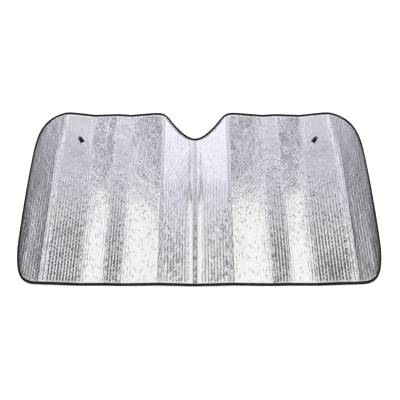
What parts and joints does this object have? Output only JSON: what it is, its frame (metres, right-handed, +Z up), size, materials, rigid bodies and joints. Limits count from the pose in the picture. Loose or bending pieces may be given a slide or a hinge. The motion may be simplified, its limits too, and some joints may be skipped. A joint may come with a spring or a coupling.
{
  "type": "windscreen sunshade",
  "caption": "Opened-out folding windscreen sunshade of silver bubble film with taped edge, mirror notch and a suction cup near each top corner.",
  "frame": {"origin": "middle of the outline's bounding box, on the plane that the shade lies on", "axes": "+X to the right along the long side, +Y towards the long edge with the mirror notch, +Z up, out of the face that shows"},
  "size_m": [1.2934, 0.6856, 0.0248],
  "materials": {
    "foil": "bright metallised film over welded air bubbles, semi-gloss, crinkled",
    "edge_tape": "woven tape, matt black, stitched",
    "cup_rubber": "smooth moulded black, semi-gloss"
  },
  "bodies": {
    "root": {"foil_bubble_panel": "foil", "edge_binding": "edge_tape", "suction_cup_left": "cup_rubber", "suction_cup_right": "cup_rubber"}
  },
  "joints": []
}
